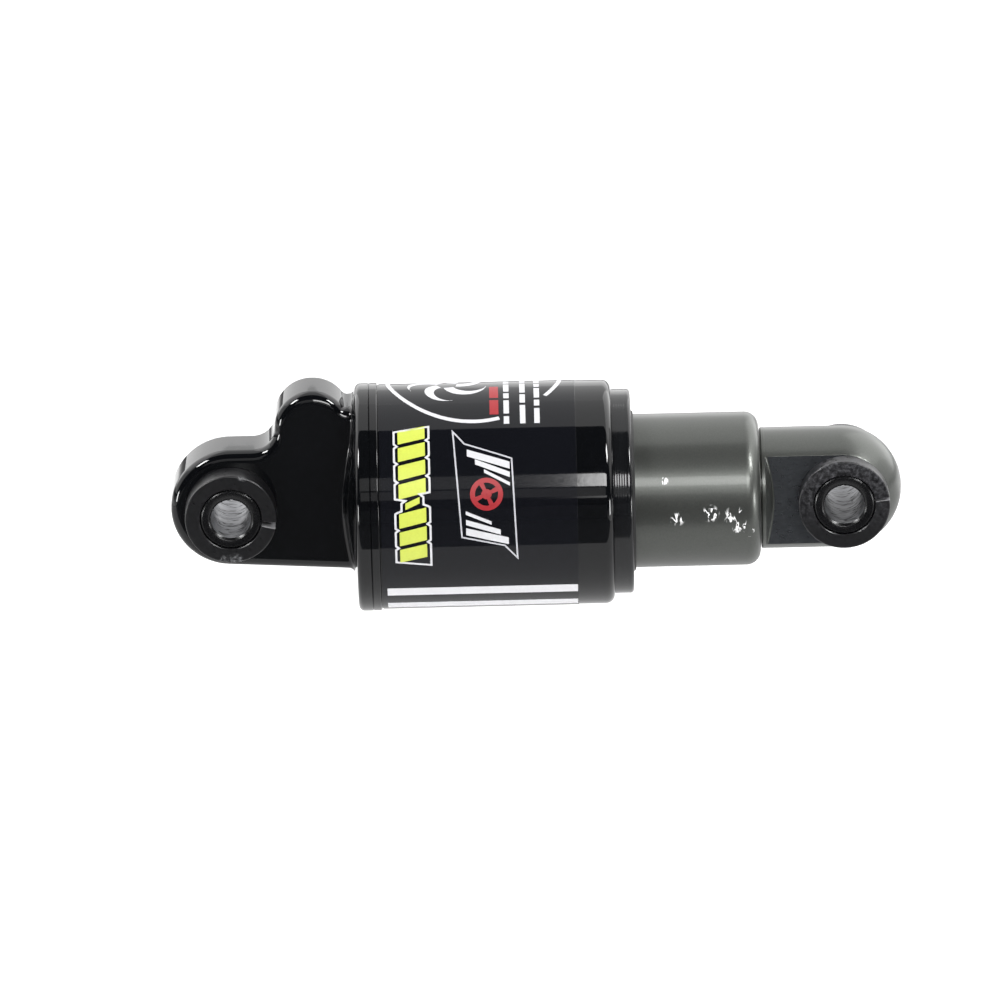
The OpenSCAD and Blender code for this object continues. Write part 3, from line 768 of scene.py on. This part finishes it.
# %% Draw flat, then wrap
def stamp(bm, points):
    """One flat filled shape."""
    return bm.faces.new([bm.verts.new((x, s, 0)) for x, s in points])


def outline_only(bm, points, width):
    """The border of a flat shape."""
    face = stamp(bm, points)
    bmesh.ops.recalc_face_normals(bm, faces=[face])
    bmesh.ops.inset_region(bm, faces=[face], thickness=width, use_boundary=True, use_even_offset=True)
    bmesh.ops.delete(bm, geom=[face], context="FACES")


def ribbon(bm, x, s, r, width, start, end, steps):
    """Part of a ring, spun from one short edge."""
    turn = math.radians(start)
    ends = [bm.verts.new((x + (r + half) * math.cos(turn), s + (r + half) * math.sin(turn), 0))
            for half in (-width / 2, width / 2)]
    edge = bm.edges.new(ends)
    full = end - start >= 360
    bmesh.ops.spin(bm, geom=ends + [edge], cent=(x, s, 0), axis=(0, 0, 1), steps=steps,
                   angle=math.radians(end - start), use_merge=full)


def wrapped(bm, inner, outer, step=1.0):
    """Cuts a flat shape into narrow strips, gives it thickness and bends it round the can."""
    low = min(v.co.y for v in bm.verts)
    high = max(v.co.y for v in bm.verts)
    for i in range(math.ceil(low / step), math.ceil(high / step)):
        everything = bm.verts[:] + bm.edges[:] + bm.faces[:]
        bmesh.ops.bisect_plane(bm, geom=everything, dist=1e-5, plane_co=(0, i * step, 0), plane_no=(0, 1, 0))
    bmesh.ops.recalc_face_normals(bm, faces=bm.faces)
    bmesh.ops.triangulate(bm, faces=bm.faces)
    lifted = bmesh.ops.extrude_face_region(bm, geom=bm.faces[:])
    moved = [v for v in lifted["geom"] if isinstance(v, bmesh.types.BMVert)]
    bmesh.ops.translate(bm, verts=moved, vec=(0, 0, outer - inner))
    for v in bm.verts:
        angle = v.co.y / label_r
        r = inner + abs(v.co.z)
        v.co = (v.co.x, -r * math.cos(angle), r * math.sin(angle))
    bmesh.ops.recalc_face_normals(bm, faces=bm.faces)
    return bm


# %% Film
SEAM_GAP = 0.4
seam_angle = SEAM_GAP / label_r
sheet = bmesh.new()
section = sheet.faces.new([
    sheet.verts.new((x, 0, r)) for x, r in
    [(label_x, can_r), (label_x, label_r - 0.03), (label_x + 0.03, label_r), (label_end - 0.03, label_r),
     (label_end, label_r - 0.03), (label_end, can_r)]
])
bmesh.ops.rotate(sheet, verts=sheet.verts, cent=(0, 0, 0),
                 matrix=Matrix.Rotation(TURN / 2 + seam_angle, 3, "X"))
bmesh.ops.spin(sheet, geom=sheet.verts[:] + sheet.edges[:] + sheet.faces[:], cent=(0, 0, 0),
               axis=(1, 0, 0), angle=TURN - 2 * seam_angle, steps=200, use_merge=False)
bmesh.ops.recalc_face_normals(sheet, faces=sheet.faces)
finished("label_film", sheet, [film], "head_and_can", ["can_label"])

# %% Column of slanted blocks
INK_TOP = label_r + 0.02
INK_FOOT = label_r - 0.02
COLUMN_X = (34.4, 39.9)
COLUMN_S = -6.6
BLOCKS = [3.0, 3.0, 3.0, 1.3, 3.0, 3.0, 3.0, 3.0]
BLOCK_GAP = 0.85
SLANT = 1.3
EDGE_X = 1.0
EDGE_WIDTH = 0.42

left, right = COLUMN_X
green = bmesh.new()
up_right, up_left = [], []
s = COLUMN_S
for i, tall in enumerate(BLOCKS):
    inset = 1.3 if tall < 2 else 0
    stamp(green, [(left + inset, s), (right - inset, s + SLANT), (right - inset, s + SLANT + tall),
                  (left + inset, s + tall)])
    notch = 0.45
    up_right += [(right + EDGE_X - inset, s + SLANT - 0.1), (right + EDGE_X - inset, s + SLANT + tall + 0.1)]
    up_left += [(left - EDGE_X + inset, s - 0.1), (left - EDGE_X + inset, s + tall + 0.1)]
    if i < len(BLOCKS) - 1:
        middle = s + tall + BLOCK_GAP / 2
        up_right.append((right + EDGE_X - inset - notch, middle + SLANT))
        up_left.append((left - EDGE_X + inset + notch, middle))
    s += tall + BLOCK_GAP
finished("print_blocks", wrapped(green, INK_FOOT, INK_TOP), [inks["yellow_green"]], "head_and_can")
column_top = (left - EDGE_X, up_left[-1][1] + 1.3)
column_foot = (right + EDGE_X, up_right[0][1] - 2.2)

# %% White lines
STRIPES = [(-16.8, -14.1, "white"), (-24.2, -20.6, "white")]
BADGE = [(45.4, 21.9), (48.0, 18.6), (57.6, 15.2), (58.4, -6.5), (55.6, -3.2), (46.9, -1.2)]
WHEEL = (52.2, 7.8)
RING = (50.0, 41.4, 17.5)
RING_GAP = (287, 326)

white = bmesh.new()
outline_only(white, [column_foot] + up_right + up_left[::-1], EDGE_WIDTH)
ribbon(white, *RING, 0.9, RING_GAP[1], RING_GAP[0] + 360, 120)
for low, high, _ in STRIPES:
    stamp(white, [(31.6, low), (label_end - 0.25, low), (label_end - 0.25, high), (31.6, high)])
for rank, (thick, reach) in enumerate([(1.5, 8.6), (1.1, 7.0), (0.7, 5.2)]):
    rise = 2.15 * rank
    stamp(white, [(57.0 - reach, 17.2 - rise), (57.0, 14.4 - rise), (57.0, 14.4 - rise - thick),
                  (57.0 - reach, 17.2 - rise - thick)])
    stamp(white, [(47.9, -0.6 + rise), (47.9 + reach, -2.8 + rise), (47.9 + reach, -2.8 + rise + thick),
                  (47.9, -0.6 + rise + thick)])

# %% Pinwheel in the ring
BLADES = 5
HUB = (44.6, 38.6)
for i in range(BLADES):
    lean = 360 / BLADES * i + 50
    turn = math.radians(lean)
    cx, cs = HUB[0] + 3.9 * math.cos(turn), HUB[1] + 3.9 * math.sin(turn)
    aside = math.radians(lean + 60)
    outer = arc(cx, cs, 4.3, lean - 150, lean + 20, 14)
    inner = arc(cx + 1.3 * math.cos(aside), cs + 1.3 * math.sin(aside), 3.5, lean + 10, lean - 140, 14)
    stamp(white, outer + inner)

# %% Blank caution lines
CAUTION_LOW = 23.1
for column, x in enumerate((56.6, 59.9, 62.8)):
    s = CAUTION_LOW
    for word in range(7):
        tall = 2.0 + 1.1 * ((word * 2 + column * 3) % 4)
        stamp(white, [(x - 0.55, s), (x + 0.55, s), (x + 0.55, s + tall), (x - 0.55, s + tall)])
        s += tall + 0.8
finished("print_white", wrapped(white, INK_FOOT, INK_TOP), [inks["white"]], "head_and_can")

# %% Red bar and wheel
SPOKES = 4
red = bmesh.new()
for word, tall in enumerate((4.6, 5.4)):
    low = 25.7 + word * 5.4
    stamp(red, [(53.2, low), (55.0, low), (55.0, low + tall), (53.2, low + tall)])
ribbon(red, *WHEEL, 2.85, 1.0, 0, 360, 48)
ribbon(red, *WHEEL, 0.55, 1.0, 0, 360, 24)
for i in range(SPOKES):
    turn = math.radians(360 / SPOKES * i + 25)
    along, side = Vector((math.cos(turn), math.sin(turn))), Vector((-math.sin(turn), math.cos(turn)))
    centre = Vector(WHEEL)
    stamp(red, [centre + along * a + side * b for a, b in ((0.9, -0.35), (2.5, -0.5), (2.5, 0.5), (0.9, 0.35))])
finished("print_red", wrapped(red, INK_FOOT, INK_TOP), [inks["red"]], "head_and_can")

# %% Badge border
grey = bmesh.new()
outline_only(grey, BADGE, 0.32)
finished("print_badge_border", wrapped(grey, INK_FOOT, INK_TOP), [inks["grey"]], "head_and_can")

# %% [markdown]
# ## Damper tube and foot
# The tube slides in and out of the can. Its end is rounded over, down to a hairline seam at the foot.
# The foot is turned from round bar with a ball end, and then both sides are milled flat for the
# swingarm. The cutter leaves the turned shoulder as a shallow cone, which meets each flat in a bow.

# %% Damper tube
SHOULDER = 3.0
TUBE_BORE = 13.7
PLUG_R = 11.45

finished("anodised_tube", turned(
    [(tube_x, TUBE_BORE), (tube_x, tube_r)]
    + [(tube_x + (tube_end - SHOULDER - tube_x) * i / 8, tube_r) for i in range(1, 8)]
    + arc(tube_end - SHOULDER, tube_r - SHOULDER, SHOULDER, 90, 0, 14)
    + [(tube_end, PLUG_R), (tube_end - 6.6, PLUG_R), (tube_end - 6.6, TUBE_BORE)], 200),
    [gunmetal], "damper_body", ["damper_tube"])

# %% Foot eyelet
foot_x, foot_tip = span("foot_eyelet", 0)
foot_r = span("foot_eyelet", 2)[1]
FOOT_HALF = 8.0
DISC_X = tube_end + 0.2
DISC_END = DISC_X + 0.9
CONE_LEN = 3.6
BALL_X = foot_eye_x - 0.4
FLAT_EDGE = 0.06
BOW_FILLET = 0.4

foot_root = turned(
    [(foot_x, 6.4), (foot_x, PLUG_R - 0.05), (DISC_X, PLUG_R - 0.05), (DISC_X, foot_r - 0.2),
     (DISC_X + 0.2, foot_r), (DISC_END - 0.1, foot_r), (DISC_END, foot_r - 0.1), (DISC_END + CONE_LEN, 1.0),
     (DISC_END + CONE_LEN, 0), (DISC_X + 1, 0), (DISC_X + 1, 6.4)])
foot = turned([(DISC_X + 0.5, 0), (DISC_X + 0.5, foot_r - 0.03)]
              + [(DISC_X + 0.5 + (BALL_X - DISC_X - 0.5) * i / 5, foot_r) for i in range(1, 5)]
              + arc(BALL_X, 0, foot_r, 90, 0, 40))
for side in (-1, 1):
    everything = foot.verts[:] + foot.edges[:] + foot.faces[:]
    cut = bmesh.ops.bisect_plane(foot, geom=everything, plane_co=(0, side * FOOT_HALF, 0),
                                 plane_no=(0, side, 0), clear_outer=True)
    rim = [e for e in cut["geom_cut"] if isinstance(e, bmesh.types.BMEdge)]
    bmesh.ops.contextual_create(foot, geom=rim)
bmesh.ops.recalc_face_normals(foot, faces=foot.faces)
flat_rim = [
    e for e in foot.edges
    if len(e.link_faces) == 2 and sum(abs(f.normal.y) > 0.99 and len(f.verts) > 8 for f in e.link_faces) == 1
]
rounded(foot, flat_rim, FLAT_EDGE, segments=2)
for face in foot_root.faces:
    face.material_index = 1
foot = carve(foot, foot_root, "UNION")
bmesh.ops.dissolve_degenerate(foot, edges=foot.edges, dist=0.01)
bow = [
    e for e in foot.edges
    if len(e.link_faces) == 2 and e.link_faces[0].material_index != e.link_faces[1].material_index
    and all(abs(abs(v.co.y) - FOOT_HALF) < 0.03 for v in e.verts)
]
print("bow edges filleted:", len(bow))
rounded(foot, bow, BOW_FILLET, segments=4)
for face in foot.faces:
    milled = abs(face.normal.y) > 0.99 and abs(abs(face.calc_center_median().y) - FOOT_HALF) < 0.03
    face.material_index = int(milled)
foot = carve(foot, across(turned([(-20, 0), (-20, bush_r), (20, bush_r), (20, 0)], 96), foot_eye_x))
finished("milled_foot", foot, [gunmetal, milled_gunmetal], "damper_body",
         ["foot_eyelet"])

# %% [markdown]
# ## Bolt sleeves and spacers
# Each eye holds a steel sleeve that the frame's bolt clamps, with a split spacer pressed on at each
# side to centre the eye between the lugs. The head's near spacer is cut with an open slot, the
# others with a hairline. A spacer is turned, so its section is spun, but not all the way round.


# %% Sleeves
def bolt_sleeve(name, x, body):
    """Steel tube with a chamfered, bare bore."""
    low, high = span(name, 1)
    bolt_r, chamfer = 4.1, 0.5
    half = [(0, bolt_r), (high - chamfer, bolt_r), (high - 0.08, bolt_r + chamfer - 0.08),
            (high, bolt_r + chamfer + 0.05), (high, sleeve_r - chamfer - 0.05),
            (high - 0.1, sleeve_r - chamfer + 0.1), (high - chamfer, sleeve_r), (0, sleeve_r)]
    outline = [(-a, r) for a, r in half[::-1][:-1]] + half[:-1]
    bm = across(turned(outline[::-1], 96), x)
    for face in bm.faces:
        middle = face.calc_center_median()
        face.material_index = int(math.hypot(middle.x - x, middle.z) < bolt_r + 0.02)
    finished(name + "_tube", bm, [black_oxide, reamed_steel], body, [name])


bolt_sleeve("upper_sleeve", 0.0, "upper_hardware")
bolt_sleeve("lower_sleeve", foot_eye_x, "lower_hardware")


# %% Split spacers
def split_spacer(name, x, body, slot, lean):
    """Acetal ring with a slot that points `lean` degrees below the shock's axis."""
    low, high = span(name, 1)
    round_over, hug = 0.35, sleeve_r + 0.01
    ends = [(low, 1), (high, -1)]
    corners = []
    for y, sign in ends:
        corners.append([(y, hug + 0.15), (y + sign * 0.15, hug)] if sign > 0 else [(y + sign * 0.15, hug), (y, hug + 0.15)])
    outer_high = arc(high - round_over, spacer_r - round_over, round_over, 0, 90, 4)
    outer_low = arc(low + round_over, spacer_r - round_over, round_over, 90, 180, 4)
    outline = corners[0] + corners[1] + outer_high + outer_low
    gap = 2 * math.asin(slot / (sleeve_r + spacer_r))
    bm = bmesh.new()
    section = bm.faces.new([bm.verts.new((a, 0, r)) for a, r in outline])
    start = TURN / 4 + math.radians(lean) + gap / 2
    bmesh.ops.rotate(bm, verts=bm.verts, cent=(0, 0, 0), matrix=Matrix.Rotation(start, 3, "X"))
    bmesh.ops.spin(bm, geom=bm.verts[:] + bm.edges[:] + bm.faces[:], cent=(0, 0, 0), axis=(1, 0, 0),
                   angle=TURN - gap, steps=96, use_merge=False)
    bmesh.ops.recalc_face_normals(bm, faces=bm.faces)
    for face in bm.faces:
        face.material_index = int(len(face.verts) > 4)
    slot_edges = [e for e in bm.edges if sum(f.material_index for f in e.link_faces) == 1]
    rounded(bm, slot_edges, 0.12, segments=2)
    finished(name + "_ring", across(bm, x), [acetal, sawn_acetal], body, [name])


WIDE_SLOT, HAIRLINE = 1.2, 0.4
split_spacer("upper_near_spacer", 0.0, "upper_hardware", WIDE_SLOT, 10)
split_spacer("upper_far_spacer", 0.0, "upper_hardware", HAIRLINE, 10)
split_spacer("lower_near_spacer", foot_eye_x, "lower_hardware", HAIRLINE, -7)
split_spacer("lower_far_spacer", foot_eye_x, "lower_hardware", HAIRLINE, -7)

# %% [markdown]
# ## Air valve
# The valve screws into the far side of the boss: a hexagon, a threaded stem and a ribbed plastic
# cap. The thread is drawn as rings at its real pitch, which is finer than the eye can follow as a
# helix.

# %% Valve body
valve_x, valve_z = PORT[0], PORT[1]
STEM_R, THREAD_PITCH, THREAD_DEPTH = 3.85, 0.8, 0.25
HEX_R, HEX_LOW, HEX_HIGH = 5.6, EAR_HALF, EAR_HALF + 1.8
stem_end = span("valve_body", 1)[1]
seat_low = span("valve_body", 1)[0]

hexagon = bmesh.new()
bmesh.ops.create_circle(hexagon, cap_ends=True, segments=6, radius=HEX_R,
                        matrix=Matrix.Rotation(TURN / 4, 4, "X") @ Matrix.Rotation(TURN / 12, 4, "Z"))
top = bmesh.ops.extrude_face_region(hexagon, geom=hexagon.faces[:])
moved = [v for v in top["geom"] if isinstance(v, bmesh.types.BMVert)]
bmesh.ops.translate(hexagon, verts=moved, vec=(0, HEX_HIGH - HEX_LOW, 0))
bmesh.ops.translate(hexagon, verts=hexagon.verts, vec=(valve_x, HEX_LOW, valve_z))
bmesh.ops.recalc_face_normals(hexagon, faces=hexagon.faces)
rounded(hexagon, hexagon.edges[:], 0.25, segments=2)
NECK_R = STEM_R - 0.3
neck = turned([(HEX_LOW - 1, 0), (HEX_LOW - 1, NECK_R - 0.05), (HEX_HIGH + 1, NECK_R - 0.05), (HEX_HIGH + 1, 0)], 64)
hexagon = carve(hexagon, across(neck, valve_x, valve_z))
finished("valve_hexagon", hexagon, [nickel], "head_and_can")

threads = []
turns_of_thread = int((stem_end - HEX_HIGH - 1) / THREAD_PITCH)
for i in range(turns_of_thread):
    y = HEX_HIGH + 0.4 + i * THREAD_PITCH
    threads += [(y, STEM_R - THREAD_DEPTH), (y + THREAD_PITCH / 2, STEM_R)]
stem = turned([(seat_low, 1.0), (seat_low, 3.98), (HEX_LOW + 0.3, 3.98), (HEX_LOW + 0.3, NECK_R)] + threads
              + [(stem_end - 0.3, STEM_R - 0.1), (stem_end, STEM_R - 0.4), (stem_end, 2.6),
                 (seat_low + 2.6, 2.6), (seat_low + 2.6, 1.0)], 64)
finished("valve_stem", across(stem, valve_x, valve_z), [nickel], "head_and_can", ["valve_body"])

# %% Valve cap
cap_low, cap_high = span("valve_cap", 1)
CAP_R, RIBS, RIB_DEPTH = 4.8, 24, 0.35

cap = turned([(cap_low, STEM_R + 0.1), (cap_low, CAP_R - 0.15), (cap_low + 0.15, CAP_R), (cap_low + 1.2, CAP_R),
              (cap_low + 1.5, CAP_R), (cap_high - 0.9, CAP_R), (cap_high - 0.4, CAP_R - 0.25),
              (cap_high - 0.1, CAP_R - 0.8), (cap_high, CAP_R - 1.4), (cap_high, 0),
              (cap_high - 1.2, 0), (cap_high - 1.2, STEM_R + 0.1)], RIBS * 4)
for v in cap.verts:
    r = math.hypot(v.co.y, v.co.z)
    if r > CAP_R - 0.05 and cap_low + 1.3 < v.co.x < cap_high - 0.5:
        dip = 0.5 + 0.5 * math.cos(RIBS * math.atan2(v.co.z, v.co.y))
        shrink = 1 - RIB_DEPTH * dip / CAP_R
        v.co.y *= shrink
        v.co.z *= shrink
finished("valve_dust_cap", across(cap, valve_x, valve_z), [cap_plastic], "valve_cap",
         ["valve_cap"])

# %% [markdown]
# ## Size
# The visual model has to stay the size of the CAD model, so the script prints how far each side of its box moved.

# %% Print how far the box moved
new_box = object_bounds()
for side, cad, new in zip(("low", "high"), cad_box, new_box):
    print(side, "moved by", [round((b - a) / MM, 2) for a, b in zip(cad, new)], "mm")
